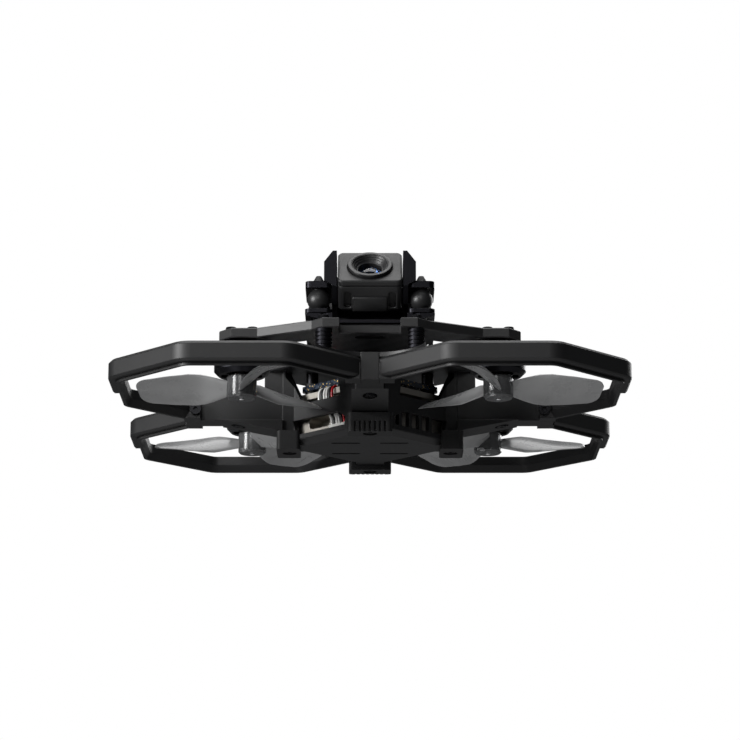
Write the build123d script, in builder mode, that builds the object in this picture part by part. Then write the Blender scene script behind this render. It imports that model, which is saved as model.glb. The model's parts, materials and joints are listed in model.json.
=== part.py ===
"""Ducted four-rotor racing drone: rotors hang under a carbon plate, inside a ring guard.

Millimetres. +X is the pilot's right, +Y points to the tail, +Z is up. The origin is on the
ground, under the middle of the four motor axes.
"""
import os
from math import atan2, cos, degrees, hypot, pi, radians, sin, sqrt

from build123d import *

os.makedirs("parts", exist_ok=True)

# ---------------------------------------------------------------- driving dimensions
prop_d = 63.5            # 2.5 inch propeller
tip_gap = 2.55           # blade tip to guard
spine_half = 4.0         # half width of the bar between left and right rings
cross_half = 3.9         # half width of the bar between front and rear rings
pad_h = 1.6              # rubber sole under the belly
cover_t = 1.6            # belly cover
tub_depth = 8.0          # belly to the underside of the rings
ring_h = 5.2
ring_wall = 2.0
bumper_t = 2.3
bumper_lift = 0.9        # bumper's underside above the ring's underside
bumper_h = 5.9
tail_bumper_h = 4.0
bar_h = 8.3              # height of the spine and the cross bar
tub_wall = 1.6
plate_gap = 15.6         # underside of the rings to the underside of the carbon plate
plate_t = 3.0
motor_h = 10.0           # carbon plate to the bell's face
bell_r = 8.3
shaft_r = 0.75
hub_h = 6.9
hub_r = 4.55
camera_w = 19.0
camera_h = 16.2
camera_d = 11.0
camera_tilt = 42.0       # lens axis above the horizon
battery_w = 34.0
battery_h = 16.0
battery_l = 68.0
screw_r = 1.0            # M2 screws throughout
head_h = 1.2             # their heads
screw_well_r = 2.2       # recess round a sunk head

seam = 0.1               # between two moulded parts that touch
slip = 0.3               # between parts that move past each other
running = 0.04           # radial clearance of a shaft in its bearing
bolt_play = 0.1          # radial clearance of a screw in its hole

# ---------------------------------------------------------------- derived places
prop_r = prop_d / 2
ring_in = prop_r + tip_gap
ring_out = ring_in + ring_wall
bumper_out = ring_out + bumper_t
motor_x = ring_in + spine_half
motor_y = ring_in + cross_half
side_half = ring_in * (sqrt(2) - 1)
corner_x = motor_x + side_half
corner_y = motor_y + side_half
tub_reach = motor_x + motor_y - sqrt(2) * ring_in
belly_z = pad_h
tub_z = belly_z + cover_t
ring_z = pad_h + tub_depth
bar_top = ring_z + bar_h
band_top = ring_z + ring_h - 0.6
plate_z = ring_z + plate_gap
plate_top = plate_z + plate_t
bell_z = plate_z - motor_h
hub_z = bell_z - hub_h
blade_z = hub_z + 3.4
column_half = spine_half + 0.5
column_reach = tub_reach + 1.7
side_reach = column_reach - 2.6
post_reach = column_reach + 3.1
block_half = 2.65
block_reach_x = corner_x + 4.6
block_reach_y = corner_y + 4.6
bolt_x = corner_x + 1.4
bolt_y = corner_y + 1.4
bolt_z = ring_z + 2.8
bore_r = screw_r + bolt_play

corners = [("front_left", -1, -1), ("front_right", 1, -1), ("rear_left", -1, 1), ("rear_right", 1, 1)]


def save(piece, name):
    """Label a finished piece and write it."""
    piece.part.label = name
    export_step(piece.part, f"parts/{name}.step")


# ---------------------------------------------------------------- chassis
def wall_plane(angle):
    """Plane on one diagonal tub wall: x along the wall, y up, z outwards."""
    reach = tub_reach / sqrt(2)
    return Plane(
        origin=(reach * cos(radians(angle)), reach * sin(radians(angle)), 0),
        x_dir=(-sin(radians(angle)), cos(radians(angle)), 0),
        z_dir=(cos(radians(angle)), sin(radians(angle)), 0),
    )


wall_half = tub_reach / sqrt(2)
inner_reach = tub_reach - tub_wall * sqrt(2)
slot_low = tub_z + 1.5
slot_high = ring_z - 0.3
window_low = band_top
web_t = 1.4
web_half = 16.0
web_back_y = corner_y - 2.0
web_tip_y = corner_y + 16.0
web_mid_y = corner_y + 4.2
slat_w = 1.2
standoff_x = 13.6
standoff_y = corner_y + 2.6
bar_screw = (column_reach + corner_y) / 2
column_spots = [(0, column_reach - 2.1), (0, 2.1 - column_reach)]
side_spots = [(side_reach - 2.1, 0), (2.1 - side_reach, 0)]
gusset_half = 5.5
gusset_reach = bar_screw + 5.0
gusset_drop = 3.6

with BuildPart() as chassis:
    with BuildSketch(Plane.XY.offset(tub_z)):
        Rectangle(tub_reach * sqrt(2), tub_reach * sqrt(2), rotation=45)
        Rectangle(2 * column_half, 2 * column_reach)
        Rectangle(2 * side_reach, 2 * column_half)
    extrude(amount=plate_z - tub_z)
    # the side columns end flat, inside the tub's corners
    with BuildSketch(Plane.XY.offset(tub_z)):
        with Locations((side_reach + column_half, 0), (-side_reach - column_half, 0)):
            Rectangle(2 * column_half, 4 * column_half)
    extrude(amount=ring_z - tub_z, mode=Mode.SUBTRACT)
    with BuildSketch(Plane.XY.offset(bar_top)):
        Rectangle(2 * post_reach, 2 * cross_half)
    extrude(amount=plate_z - bar_top)
    with BuildSketch(Plane.XY.offset(ring_z)):
        Rectangle(2 * spine_half, 2 * corner_y)
        Rectangle(2 * corner_x, 2 * cross_half)
        Rectangle(2 * block_half, 2 * block_reach_y)
        Rectangle(2 * block_reach_x, 2 * block_half)
    extrude(amount=bar_h)
    # curved webs that tie the rings together at the nose and the tail
    with BuildSketch(Plane.XY.offset(bar_top - web_t)):
        with BuildLine():
            ThreePointArc((-web_half, web_tip_y), (0, web_mid_y), (web_half, web_tip_y))
            Polyline((web_half, web_tip_y), (web_half, web_tip_y - 4), (spine_half, web_back_y),
                     (-spine_half, web_back_y), (-web_half, web_tip_y - 4), (-web_half, web_tip_y))
        make_face()
        mirror(about=Plane.XZ)
    extrude(amount=web_t)
    # gussets that slope from the bars' undersides down to the columns
    for quarter, foot in enumerate((column_reach, side_reach, column_reach, side_reach)):
        with BuildSketch(Plane.YZ.rotated((0, 0, 90 * quarter))):
            Polygon((foot, ring_z), (gusset_reach, ring_z), (foot, ring_z - gusset_drop), align=None)
        extrude(amount=gusset_half, both=True)
    with BuildSketch(Plane.XY.offset(ring_z)):
        with PolarLocations(bar_screw, 4):
            Circle(screw_well_r)
    extrude(amount=-gusset_drop, mode=Mode.SUBTRACT)
    # cavity for the electronics, open above and below
    with BuildSketch(Plane.XY.offset(tub_z)):
        Rectangle(inner_reach * sqrt(2), inner_reach * sqrt(2), rotation=45)
    extrude(amount=plate_z - tub_z, mode=Mode.SUBTRACT)
    # upper windows with sloping gussets beside the posts, and lower slots
    for angle, nose_side in [(225, 1), (315, -1), (45, 1), (135, -1)]:
        with BuildSketch(wall_plane(angle)):
            Polygon((nose_side * 7.0, window_low), (nose_side * -9.8, window_low),
                    (nose_side * -16.6, plate_z), (nose_side * 5.0, plate_z), align=None)
            Polygon((nose_side * 8.6, slot_low), (nose_side * -12.8, slot_low),
                    (nose_side * -13.7, slot_high), (nose_side * 5.4, slot_high),
                    (nose_side * 9.3, slot_low + 2.4), align=None)
        extrude(amount=tub_wall * 1.2, both=True, mode=Mode.SUBTRACT)
    for angle in (315, 45, 135):
        with BuildSketch(wall_plane(angle).offset(-tub_wall)):
            with Locations((0, (slot_low + slot_high) / 2)):
                with GridLocations(4.4, 0, 4, 1):
                    Rectangle(slat_w, slot_high - slot_low + 1)
        extrude(amount=tub_wall)
    # wiring channels in the tops of the bars
    with BuildSketch(Plane.XY.offset(bar_top)):
        for side in (-1, 1):
            with Locations((0, side * (column_reach + 6))):
                SlotOverall(14, 3.2, rotation=90)
            with Locations((side * (post_reach + 8), 0)):
                SlotOverall(14, 3.2)
    extrude(amount=-4.5, mode=Mode.SUBTRACT)
    # screw holes: plate posts, belly columns, bar undersides, cross bolts
    with Locations((0, column_reach - 2.1, plate_z), (0, -column_reach + 2.1, plate_z),
                   (post_reach - 3.6, 0, plate_z), (-post_reach + 3.6, 0, plate_z)):
        Hole(screw_r, depth=6)
    with BuildSketch(Plane.XY.offset(tub_z)):
        with Locations(*column_spots, *side_spots):
            Circle(screw_r)
    extrude(amount=5, mode=Mode.SUBTRACT)
    with BuildSketch(Plane.XY.offset(ring_z)):
        with PolarLocations(bar_screw, 4):
            Circle(screw_r)
    extrude(amount=3.4, mode=Mode.SUBTRACT)
    with BuildSketch(Plane.YZ):
        with Locations((bolt_y, bolt_z), (-bolt_y, bolt_z)):
            Circle(bore_r)
    extrude(amount=block_half, both=True, mode=Mode.SUBTRACT)
    with BuildSketch(Plane.XZ):
        with Locations((bolt_x, bolt_z), (-bolt_x, bolt_z)):
            Circle(bore_r)
    extrude(amount=block_half, both=True, mode=Mode.SUBTRACT)
    # holes in the webs for the standoff screws
    with BuildSketch(Plane.XY.offset(bar_top)):
        with GridLocations(2 * standoff_x, 2 * standoff_y, 2, 2):
            Circle(bore_r)
    extrude(amount=-web_t, mode=Mode.SUBTRACT)
save(chassis, "chassis")

# ---------------------------------------------------------------- belly cover and landing pads
cover_draft = 55
with BuildPart() as belly_cover:
    with BuildSketch(Plane.XY.offset(tub_z)):
        Rectangle((tub_reach - seam) * sqrt(2), (tub_reach - seam) * sqrt(2), rotation=45)
    extrude(amount=-cover_t, taper=cover_draft)
    with BuildSketch(Plane.XY.offset(belly_z)):
        Rectangle(2 * column_half, 2 * column_reach)
        Rectangle(2 * side_reach, 2 * column_half)
    extrude(amount=cover_t)
    with BuildSketch(Plane.XY.offset(belly_z)):
        with Locations(*column_spots, *side_spots):
            Circle(bore_r)
        with Locations((-7.5, -7.5), (7.5, -7.5), (-7.5, 7.5), (7.5, 7.5)):
            SlotOverall(9, 1.6)
        with Locations((side_reach + column_half, 0), (-side_reach - column_half, 0)):
            Rectangle(2 * column_half, 4 * column_half)
    extrude(amount=cover_t, mode=Mode.SUBTRACT)
save(belly_cover, "belly_cover")

pad_half = column_half + seam + 2.15
pad_grip = tub_reach - column_half + 0.7 - column_reach
pad_wall = 1.8
pad_wrap_h = ring_z - 3.7
groove = 0.5

with BuildPart() as landing_pads:
    for quarter, foot in enumerate((column_reach, side_reach, column_reach, side_reach)):
        pad_plane = Plane.XY.rotated((0, 0, 90 * quarter))
        with BuildSketch(pad_plane):
            with Locations((0, foot + (pad_wall + pad_grip) / 2)):
                RectangleRounded(2 * pad_half, pad_wall - pad_grip, 1.2)
        extrude(amount=pad_wrap_h)
        with BuildSketch(pad_plane.offset(pad_h)):
            with Locations((0, foot / 2)):
                Rectangle(2 * (column_half + seam), foot + 2 * seam)
            Rectangle((tub_reach + seam) * sqrt(2), (tub_reach + seam) * sqrt(2), rotation=45)
        extrude(amount=pad_wrap_h, mode=Mode.SUBTRACT)
        with BuildSketch(pad_plane):
            with Locations((0, foot - 2.1)):
                Circle(2.2)
        extrude(amount=pad_h, mode=Mode.SUBTRACT)
        # ribbed grip on the outer wall
        with BuildSketch(pad_plane):
            with Locations((0, foot + pad_wall)):
                with GridLocations(1.5, 0, 7, 1):
                    Rectangle(0.6, 2 * groove)
        extrude(amount=pad_wrap_h * 0.55, mode=Mode.SUBTRACT)
save(landing_pads, "landing_pads")


# ---------------------------------------------------------------- ring guards and bumpers
def octagon(x, y, apothem):
    """Octagon round a motor axis, flat sides left and right, its rounded corners concentric."""
    with BuildSketch(Plane.XY) as plan:
        with Locations((x, y)):
            RegularPolygon(apothem, 8, major_radius=False, rotation=22.5)
        fillet(plan.vertices(), ring_corner_r + apothem - ring_in)
    return plan.sketch


end_gap = block_half + seam
lug_half = 7.2
lug_depth = 5.1
lip_draft = 1.0
lip_h = 2.3
ring_corner_r = 3.0


def behind_bars(sx, sy):
    """Where the chassis bars and the tub already form the sides of one ring."""
    with BuildSketch(Plane.XY) as plan:
        with Locations((sx * corner_x / 2, sy * corner_y / 2)):
            Rectangle(corner_x, corner_y)
        with Locations((sx * end_gap / 2, sy * bumper_out)):
            Rectangle(end_gap, 4 * bumper_out)
        with Locations((sx * bumper_out, sy * end_gap / 2)):
            Rectangle(4 * bumper_out, end_gap)
    return plan.sketch


def lugs(sx, sy, play):
    """The two blocks of one guard that the cross bolts go through."""
    with BuildSketch(Plane.XY) as plan:
        with Locations((sx * (end_gap + lug_half) / 2, sy * (corner_y + lug_depth / 2))):
            Rectangle(lug_half - end_gap + 2 * play, lug_depth + 2 * play)
        with Locations((sx * (corner_x + lug_depth / 2), sy * (end_gap + lug_half) / 2)):
            Rectangle(lug_depth + 2 * play, lug_half - end_gap + 2 * play)
    return plan.sketch


for name, sx, sy in corners:
    with BuildPart() as guard:
        with BuildSketch(Plane.XY.offset(ring_z)):
            add(octagon(sx * motor_x, sy * motor_y, ring_out))
            add(octagon(sx * motor_x, sy * motor_y, ring_in), mode=Mode.SUBTRACT)
        extrude(amount=ring_h)
        # drafted inner lip
        with BuildSketch(Plane.XY.offset(ring_z)):
            add(octagon(sx * motor_x, sy * motor_y, ring_in + lip_draft))
        with BuildSketch(Plane.XY.offset(ring_z + lip_h)):
            add(octagon(sx * motor_x, sy * motor_y, ring_in))
        loft(mode=Mode.SUBTRACT)
        with BuildSketch(Plane.XY.offset(ring_z)):
            add(lugs(sx, sy, 0))
        extrude(amount=ring_h)
        with BuildSketch(Plane.XY):
            add(behind_bars(sx, sy))
        extrude(amount=plate_z, mode=Mode.SUBTRACT)
        with BuildSketch(Plane.YZ):
            with Locations((sy * bolt_y, bolt_z)):
                Circle(bore_r)
        extrude(amount=sx * (lug_half + seam), mode=Mode.SUBTRACT)
        with BuildSketch(Plane.XZ):
            with Locations((sx * bolt_x, bolt_z)):
                Circle(bore_r)
        extrude(amount=-sy * (lug_half + seam), mode=Mode.SUBTRACT)
    save(guard, "guard_" + name)


def bumper(name, sx, sy, height, keep):
    """Soft strip outside one ring, kept where its rectangle lies (x and y in the ring's quadrant)."""
    low_x, low_y, high_x, high_y = keep
    with BuildPart() as strip:
        with BuildSketch(Plane.XY.offset(ring_z + bumper_lift)):
            add(octagon(sx * motor_x, sy * motor_y, bumper_out))
            add(octagon(sx * motor_x, sy * motor_y, ring_out + seam / 2), mode=Mode.SUBTRACT)
        extrude(amount=height)
        top_edges = strip.edges().group_by(Axis.Z)[-1]
        bottom_edges = strip.edges().group_by(Axis.Z)[0]
        outer_top = top_edges.sort_by_distance((sx * motor_x, sy * motor_y, 0))[-16:]
        chamfer(outer_top, 0.9)
        outer_bottom = bottom_edges.sort_by_distance((sx * motor_x, sy * motor_y, 0))[-16:]
        chamfer(outer_bottom, 0.6)
        with BuildSketch(Plane.XY):
            add(behind_bars(sx, sy))
        extrude(amount=plate_z, mode=Mode.SUBTRACT)
        with BuildSketch(Plane.XY.offset(ring_z)):
            with Locations((sx * (low_x + high_x) / 2, sy * (low_y + high_y) / 2)):
                Rectangle(high_x - low_x, high_y - low_y)
        extrude(amount=plate_gap, mode=Mode.INTERSECT)
        # the lug and the cross bolt's head stand inside the ring, its shank passes the strip
        with BuildSketch(Plane.XY.offset(ring_z)):
            add(lugs(sx, sy, seam))
        extrude(amount=ring_h + seam, mode=Mode.SUBTRACT)
    save(strip, name)


far = 2 * bumper_out + motor_x
mid_tip = 2.0
for name, sx, sy in corners:
    if sy < 0:
        bumper("bumper_" + name, sx, sy, bumper_h, (0, motor_y - mid_tip, far, far))
    else:
        bumper("bumper_" + name, sx, sy, bumper_h, (corner_x, 0, far, motor_y + mid_tip))
        bumper("tail_" + name.replace("rear", "bumper"), sx, sy, tail_bumper_h,
               (motor_x - side_half, motor_y + ring_out, motor_x + side_half, far))

# ---------------------------------------------------------------- cross bolts
with BuildPart() as cross_bolts:
    for plane, reach in [(Plane.YZ, bolt_y), (Plane.XZ, bolt_x)]:
        with BuildSketch(plane):
            with Locations((reach, bolt_z), (-reach, bolt_z)):
                Circle(screw_r)
        extrude(amount=lug_half, both=True)
        with BuildSketch(plane.offset(lug_half)):
            with Locations((reach, bolt_z), (-reach, bolt_z)):
                Circle(1.7)
                RegularPolygon(0.75, 6, mode=Mode.SUBTRACT)
        extrude(amount=head_h)
        with BuildSketch(plane.offset(lug_half)):
            with Locations((reach, bolt_z), (-reach, bolt_z)):
                Circle(1.7)
        extrude(amount=head_h / 3)
        with BuildSketch(plane.offset(-lug_half)):
            with Locations((reach, bolt_z), (-reach, bolt_z)):
                RegularPolygon(1.7, 6)
        extrude(amount=-head_h)
save(cross_bolts, "cross_bolts")

# ---------------------------------------------------------------- carbon plate
plate_nose_y = standoff_y + 3.0
arm_pad = 7.9
arm_end = 6.7
arm_root_x = standoff_x + 3.6
notch_half = 9.0
notch_y = plate_nose_y - 7.5
motor_pcd = 9.0
ear_half = 4.6
waist_x = 17.0

with BuildPart() as top_plate:
    with BuildSketch(Plane.XY.offset(plate_z)) as plate_plan:
        with BuildLine():
            Polyline(
                (0, -notch_y),
                (notch_half, -notch_y),
                (notch_half, -plate_nose_y),
                (arm_root_x - 3.2, -plate_nose_y),
                (arm_root_x, -plate_nose_y + 3.4),
                (motor_x - 4.8, -motor_y - arm_pad),
                (motor_x + 3.0, -motor_y - arm_pad),
                (motor_x + arm_end, -motor_y - 3.8),
                (motor_x + arm_end, -motor_y + 3.8),
                (motor_x + 3.0, -motor_y + arm_pad),
                (motor_x - 5.0, -motor_y + arm_pad),
                (motor_x - arm_pad - 1.6, -motor_y + 1.6),
                (waist_x + 2, -motor_y - 3.4),
                (waist_x, -motor_y + 2),
                (waist_x + 1.5, -17),
                (post_reach - 2, -ear_half - 1),
                (post_reach + 0.8, -ear_half + 1),
                (post_reach + 0.8, 0),
                (0, 0),
                (0, -notch_y),
            )
        make_face()
        mirror(about=Plane.YZ)
        mirror(about=Plane.XZ)
    extrude(amount=plate_t)
    chamfer(top_plate.edges().group_by(Axis.Z)[-1], 0.3)
    chamfer(top_plate.edges().group_by(Axis.Z)[0], 0.3)
    # motor mounts: a ring of screws round a clearance hole for the bearing tube
    with BuildSketch(Plane.XY.offset(plate_z)):
        with GridLocations(2 * motor_x, 2 * motor_y, 2, 2):
            Circle(2.6)
            with PolarLocations(motor_pcd / 2, 4, start_angle=45):
                Circle(bore_r)
        with GridLocations(2 * standoff_x, 2 * standoff_y, 2, 2):
            Circle(bore_r)
        with Locations((post_reach - 3.6, 0), (3.6 - post_reach, 0)):
            Circle(bore_r)
        with Locations((0, column_reach - 2.1), (0, 2.1 - column_reach)):
            Circle(bore_r)
        # wire slots above the tub, and lightening slots in the nose and tail
        with GridLocations(19, 25, 2, 2):
            SlotOverall(7, 2.4, rotation=90)
        with Locations((0, 4.6 - notch_y), (0, notch_y - 4.6)):
            SlotOverall(9, 3.6)
    extrude(amount=plate_t, mode=Mode.SUBTRACT)
save(top_plate, "top_plate")

# ---------------------------------------------------------------- standoffs
standoff_h = plate_z - bar_top
with BuildPart() as standoffs:
    with GridLocations(2 * standoff_x, 2 * standoff_y, 2, 2):
        with Locations((0, 0, bar_top)):
            Cylinder(2.5, standoff_h, align=(Align.CENTER, Align.CENTER, Align.MIN))
    for step in range(5):
        with BuildSketch(Plane.XY.offset(bar_top + 0.9 + step * (standoff_h - 2.4) / 4)):
            with GridLocations(2 * standoff_x, 2 * standoff_y, 2, 2):
                Circle(2.5)
                Circle(2.15, mode=Mode.SUBTRACT)
        extrude(amount=0.5, mode=Mode.SUBTRACT)
    with GridLocations(2 * standoff_x, 2 * standoff_y, 2, 2):
        with Locations((0, 0, bar_top)):
            Cylinder(screw_r, standoff_h, align=(Align.CENTER, Align.CENTER, Align.MIN),
                     mode=Mode.SUBTRACT)
save(standoffs, "standoffs")


# ---------------------------------------------------------------- screws
def screws(places, z, length, up):
    """Button-head screws at the places: the heads stand at z, the shanks run away from them."""
    way = 1 if up else -1
    with BuildPart() as row:
        with BuildSketch(Plane.XY.offset(z)):
            with Locations(*places):
                Circle(screw_r)
        extrude(amount=-way * length)
        with BuildSketch(Plane.XY.offset(z)):
            with Locations(*places):
                Circle(1.9)
        extrude(amount=way * head_h, taper=18)
        with BuildSketch(Plane.XY.offset(z + way * head_h)):
            with Locations(*places):
                RegularPolygon(0.75, 6)
        extrude(amount=-way * 0.7, mode=Mode.SUBTRACT)
    return row.part


standoff_spots = [(sx * standoff_x, sy * standoff_y) for _, sx, sy in corners]
post_spots = [(post_reach - 3.6, 0), (3.6 - post_reach, 0)]
bar_spots = [(0, bar_screw), (0, -bar_screw), (bar_screw, 0), (-bar_screw, 0)]
with BuildPart() as frame_screws:
    add(screws(standoff_spots, plate_top, 5, True))
    add(screws(standoff_spots, bar_top - web_t, 4, False))
    add(screws(post_spots + column_spots, plate_top, 8, True))
    add(screws(bar_spots, ring_z, 3, False))
    add(screws(column_spots + side_spots, belly_z, 5, False))
save(frame_screws, "frame_screws")

# ---------------------------------------------------------------- motors
flange_t = 1.5
bearing_r = 2.3
bell_h = motor_h - 2.0
bell_wall = 0.8
bell_face_t = 1.2
stator_r = bell_r - bell_wall - 1.2
tooth_count = 9
stator_low = bell_z + bell_face_t + 1.0
stator_h = bell_h - 4.0

for name, sx, sy in corners:
    with BuildPart() as motor_base:
        with BuildSketch(Plane.XY.offset(plate_z)):
            with Locations((sx * motor_x, sy * motor_y)):
                Circle(3.6)
                with PolarLocations(motor_pcd / 2, 4, start_angle=45):
                    Circle(1.9)
                make_hull()
        extrude(amount=-flange_t)
        with BuildSketch(Plane.XY.offset(plate_z)):
            with Locations((sx * motor_x, sy * motor_y)):
                Circle(bearing_r)
        extrude(amount=-(plate_z - stator_low + 0.6))
        with BuildSketch(Plane.XY.offset(plate_z)):
            with Locations((sx * motor_x, sy * motor_y)):
                Circle(shaft_r + running)
        extrude(amount=-motor_h, mode=Mode.SUBTRACT)
        with BuildSketch(Plane.XY.offset(plate_z)):
            with Locations((sx * motor_x, sy * motor_y)):
                with PolarLocations(motor_pcd / 2, 4, start_angle=45):
                    Circle(screw_r)
        extrude(amount=-flange_t, mode=Mode.SUBTRACT)
    save(motor_base, "motor_base_" + name)

with BuildPart() as stator_cores:
    with BuildSketch(Plane.XY.offset(stator_low)):
        with GridLocations(2 * motor_x, 2 * motor_y, 2, 2):
            Circle(bearing_r + 1.2)
            with PolarLocations(stator_r / 2, tooth_count):
                Rectangle(stator_r - 0.6, 1.0)
            with PolarLocations(stator_r - 0.1, tooth_count):
                Rectangle(0.8, 3.3)
            Circle(bearing_r, mode=Mode.SUBTRACT)
    extrude(amount=stator_h)
save(stator_cores, "stator_cores")

with BuildPart() as windings:
    with BuildSketch(Plane.XY.offset(stator_low - 0.5)):
        with GridLocations(2 * motor_x, 2 * motor_y, 2, 2):
            with PolarLocations((bearing_r + stator_r) / 2 + 0.4, tooth_count):
                RectangleRounded(2.0, 1.9, 0.4)
    extrude(amount=stator_h + 1.0)
    with BuildSketch(Plane.XY.offset(stator_low)):
        with GridLocations(2 * motor_x, 2 * motor_y, 2, 2):
            with PolarLocations(stator_r / 2, tooth_count):
                Rectangle(stator_r, 1.0)
    extrude(amount=stator_h, mode=Mode.SUBTRACT)
save(windings, "windings")

with BuildPart() as motor_screws:
    motor_spots = []
    for name, sx, sy in corners:
        for quarter in range(4):
            turn = radians(45 + 90 * quarter)
            motor_spots.append((sx * motor_x + motor_pcd / 2 * cos(turn),
                                sy * motor_y + motor_pcd / 2 * sin(turn)))
    add(screws(motor_spots, plate_top, plate_t + flange_t, True))
save(motor_screws, "motor_screws")

# propeller blade stations: radius, chord, pitch angle from one helical pitch, thickness
blade_pitch = 62.0
blade_count = 3
root_r = 3.6
blade_tip = prop_r - 0.2
stations = [(root_r, 5.4, 1.5), (0.29 * prop_r, 9.6, 1.3), (0.48 * prop_r, 13.0, 1.15),
            (0.7 * prop_r, 13.8, 1.0), (0.9 * prop_r, 12.6, 0.85), (blade_tip, 10.6, 0.7)]
blade_angle = {"front_left": 50.1, "front_right": 129.9, "rear_left": 52.0, "rear_right": 128.0}


for name, sx, sy in corners:
    hand = sx * sy
    with BuildPart() as bell:
        with Locations((sx * motor_x, sy * motor_y, bell_z)):
            Cylinder(bell_r, bell_h, align=(Align.CENTER, Align.CENTER, Align.MIN))
        chamfer(bell.edges().group_by(Axis.Z)[0], 1.3)
        with Locations((sx * motor_x, sy * motor_y, bell_z + bell_face_t)):
            Cylinder(bell_r - bell_wall, bell_h, align=(Align.CENTER, Align.CENTER, Align.MIN),
                     mode=Mode.SUBTRACT)
        with BuildSketch(Plane.XY.offset(bell_z)):
            with Locations((sx * motor_x, sy * motor_y)):
                with PolarLocations(5.0, 6):
                    SlotOverall(3.9, 2.3, rotation=90)
                Circle(shaft_r, mode=Mode.ADD)
        extrude(amount=bell_face_t, mode=Mode.SUBTRACT)
    save(bell, "bell_" + name)

    with BuildPart() as shaft:
        with Locations((sx * motor_x, sy * motor_y, hub_z - 0.4)):
            Cylinder(shaft_r, plate_z - 1.0 - hub_z + 0.4, align=(Align.CENTER, Align.CENTER, Align.MIN))
        chamfer(shaft.edges().group_by(Axis.Z)[0], 0.2)
    save(shaft, "shaft_" + name)

    with BuildPart() as propeller:
        with Locations((sx * motor_x, sy * motor_y, hub_z)):
            Cylinder(hub_r, hub_h, align=(Align.CENTER, Align.CENTER, Align.MIN))
        chamfer(propeller.edges().group_by(Axis.Z)[0], 0.6)
        for blade in range(blade_count):
            turn = blade_angle[name] + 360 / blade_count * blade
            root = Plane(origin=(sx * motor_x, sy * motor_y, blade_z),
                         x_dir=(-sin(radians(turn)), cos(radians(turn)), 0),
                         z_dir=(cos(radians(turn)), sin(radians(turn)), 0))
            for radius, chord, thick in stations:
                twist = min(degrees(atan2(blade_pitch, 2 * pi * radius)), 40)
                with BuildSketch(root.offset(radius)):
                    Ellipse(chord / 2, thick / 2, rotation=hand * twist)
            loft()
        with Locations((sx * motor_x, sy * motor_y, hub_z)):
            Cylinder(shaft_r, hub_h, align=(Align.CENTER, Align.CENTER, Align.MIN), mode=Mode.SUBTRACT)
            with PolarLocations(2.8, 6):
                Cylinder(0.7, 2 * (hub_h - 2.4), mode=Mode.SUBTRACT)
    save(propeller, "propeller_" + name)

# ---------------------------------------------------------------- electronics in the tub
unit_play = 1.7
unit_side = 2 * (wall_half - tub_wall - unit_play)
unit_z = tub_z + 1.4
lid_h = 3.6
board_side = unit_side - 2.0
board_t = 1.6
board_z = plate_z - 5.8
unit_h = board_z - 1.2 - lid_h - unit_z
stack_reach = (board_side - 5.5) / sqrt(2)
grommet_r = 2.2
nut_r = 1.9

with BuildPart() as air_unit_case:
    with BuildSketch(Plane.XY.offset(unit_z)):
        RectangleRounded(unit_side, unit_side, 2.5, rotation=45)
    extrude(amount=unit_h)
    unit_face = wall_plane(225).offset(unit_side / 2 - wall_half)
    with BuildSketch(unit_face):
        with Locations((-5.5, unit_z + 3.6), (5.5, unit_z + 3.6)):
            RectangleRounded(9.2, 3.4, 1.4)
    extrude(amount=-5, mode=Mode.SUBTRACT)
    with BuildSketch(unit_face.offset(-unit_side)):
        with Locations((0, unit_z + unit_h / 2)):
            Circle(1.2 + slip)
    extrude(amount=2.6, mode=Mode.SUBTRACT)
save(air_unit_case, "air_unit_case")

lid_z = unit_z + unit_h
with BuildPart() as air_unit_fins:
    with BuildSketch(Plane.XY.offset(lid_z)):
        RectangleRounded(unit_side - 1, unit_side - 1, 2, rotation=45)
    extrude(amount=0.8)
    with BuildSketch(Plane.XY.offset(lid_z)):
        Rectangle(unit_side - 9, unit_side - 9, rotation=45)
    extrude(amount=1.7)
    with BuildSketch(Plane.XY.offset(lid_z + 1.7)):
        RectangleRounded(unit_side - 0.6, unit_side - 0.6, 2, rotation=45)
    extrude(amount=lid_h - 1.7)
    with BuildSketch(Plane.XY.offset(lid_z + lid_h)):
        with GridLocations(0, 3.2, 1, 7):
            SlotOverall(20, 1.6)
    extrude(amount=-1.2, mode=Mode.SUBTRACT)
    # room for the board's nuts
    with BuildSketch(Plane.XY.offset(lid_z + 0.8)):
        with PolarLocations(stack_reach, 4):
            Circle(nut_r + slip)
    extrude(amount=lid_h, mode=Mode.SUBTRACT)
save(air_unit_fins, "air_unit_fins")

button_travel = 0.4
with BuildPart() as link_button:
    with BuildSketch(unit_face.offset(-unit_side - 2 * button_travel)):
        with Locations((0, unit_z + unit_h / 2)):
            Circle(1.2)
    extrude(amount=2.6)
save(link_button, "link_button")

with BuildPart() as flight_board:
    with BuildSketch(Plane.XY.offset(board_z)):
        RectangleRounded(board_side, board_side, 2, rotation=45)
        with PolarLocations(stack_reach, 4):
            Circle(grommet_r - 0.5, mode=Mode.SUBTRACT)
    extrude(amount=board_t)
save(flight_board, "flight_board")

with BuildPart() as board_chips:
    with BuildSketch(Plane.XY.offset(board_z + board_t)):
        Rectangle(7, 7, rotation=45)
        with Locations((0, 9), (0, -9)):
            Rectangle(4, 3, rotation=45)
        with Locations((9, 0), (-9, 0)):
            Rectangle(3.4, 5, rotation=45)
    extrude(amount=1.0)
    with BuildSketch(Plane.XY.offset(board_z)):
        with Locations((6, 6), (-6, 6), (6, -6), (-6, -6)):
            with GridLocations(3.6, 0, 2, 1):
                Rectangle(2.6, 3.6)
    extrude(amount=-0.9)
save(board_chips, "board_chips")

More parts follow.
